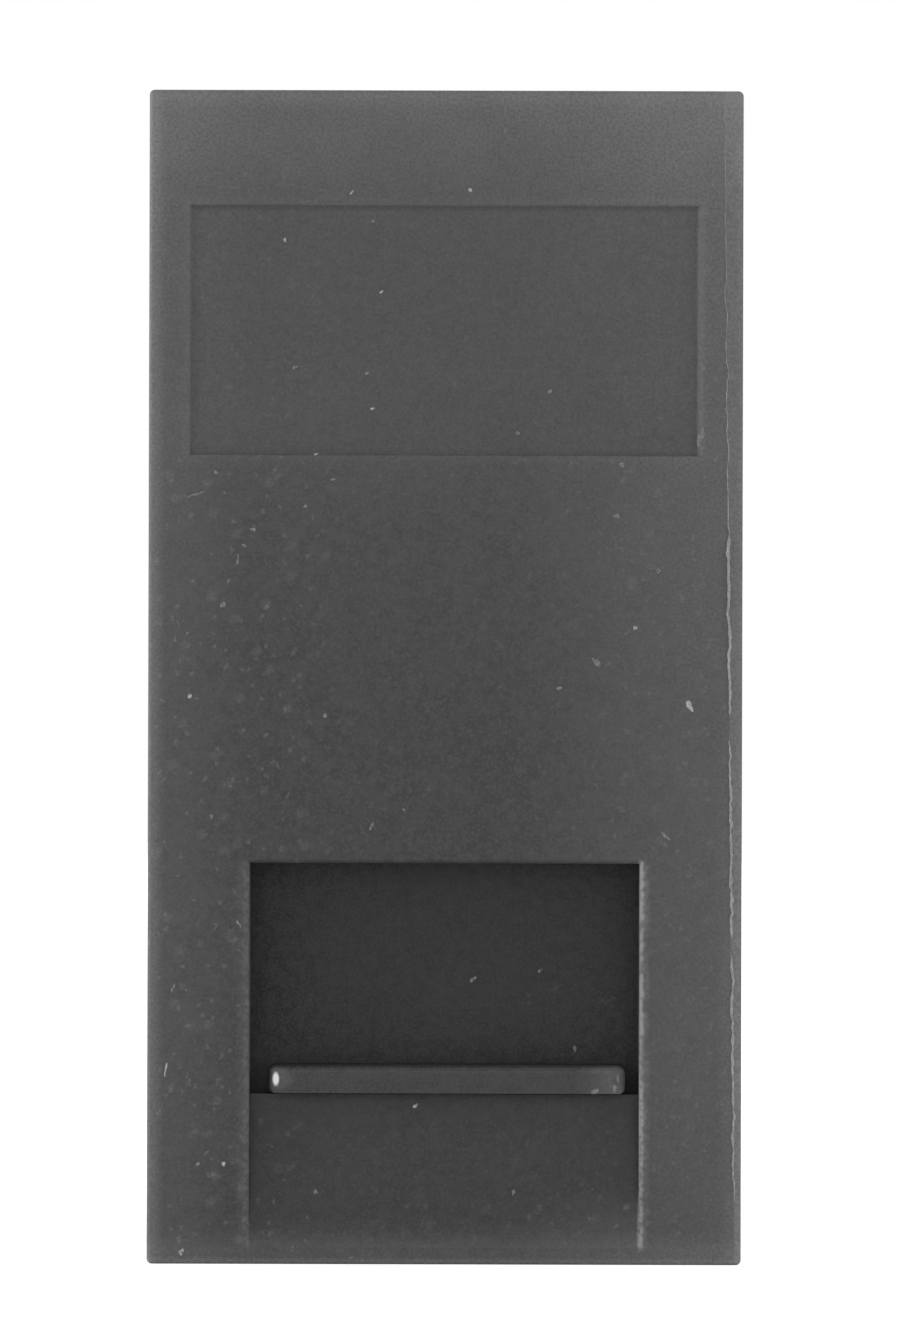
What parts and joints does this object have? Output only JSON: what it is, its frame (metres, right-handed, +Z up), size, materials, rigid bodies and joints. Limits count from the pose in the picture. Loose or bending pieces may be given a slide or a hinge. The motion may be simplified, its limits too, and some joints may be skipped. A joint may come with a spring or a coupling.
{
  "type": "secondary telephone socket module",
  "caption": "Rectangular telephone outlet module with a flat face, a label recess and a sprung shutter over the plug opening; wires are punched into terminal blocks at the back.",
  "frame": {"origin": "middle of the face rectangle, in the plane of the seat that rests on the outlet frame", "axes": "+Z up along the long side of the face, +X right as seen from the front, +Y into the wall; the face looks along -Y"},
  "size_m": [0.025, 0.0275, 0.0494],
  "materials": {
    "face_plastic": "fine sparked texture, dusty",
    "shutter_plastic": "fine sparked texture",
    "spring_steel": "bright drawn wire",
    "jack_plastic": "plain moulded",
    "contact_plating": "gold flash",
    "board_laminate": "solder mask",
    "terminal_plastic": "plain moulded",
    "terminal_metal": "tin plated",
    "cover_plastic": "plain moulded",
    "screw_steel": "zinc plated"
  },
  "bodies": {
    "socket": {"front_housing": "face_plastic", "shutter_spring": "spring_steel", "jack_body": "jack_plastic", "contact_carrier": "jack_plastic", "contact_1": "contact_plating", "contact_2": "contact_plating", "contact_3": "contact_plating", "contact_4": "contact_plating", "contact_5": "contact_plating", "contact_6": "contact_plating", "circuit_board": "board_laminate", "idc_block_left": "terminal_plastic", "idc_block_right": "terminal_plastic", "idc_terminal_1": "terminal_metal", "idc_terminal_2": "terminal_metal", "idc_terminal_3": "terminal_metal", "idc_terminal_4": "terminal_metal", "idc_terminal_5": "terminal_metal", "idc_terminal_6": "terminal_metal", "rear_cover": "cover_plastic", "cover_screws": "screw_steel"},
    "shutter": {"shutter": "shutter_plastic"}
  },
  "joints": [
    {"name": "shutter_slide", "type": "slide", "parent": "socket", "child": "shutter", "axis": [0, 0, 1], "range_m": [0, 0.0084], "stiffness_N_per_m": 20, "springref_m": -0.004, "deforming": ["shutter_spring"]}
  ]
}
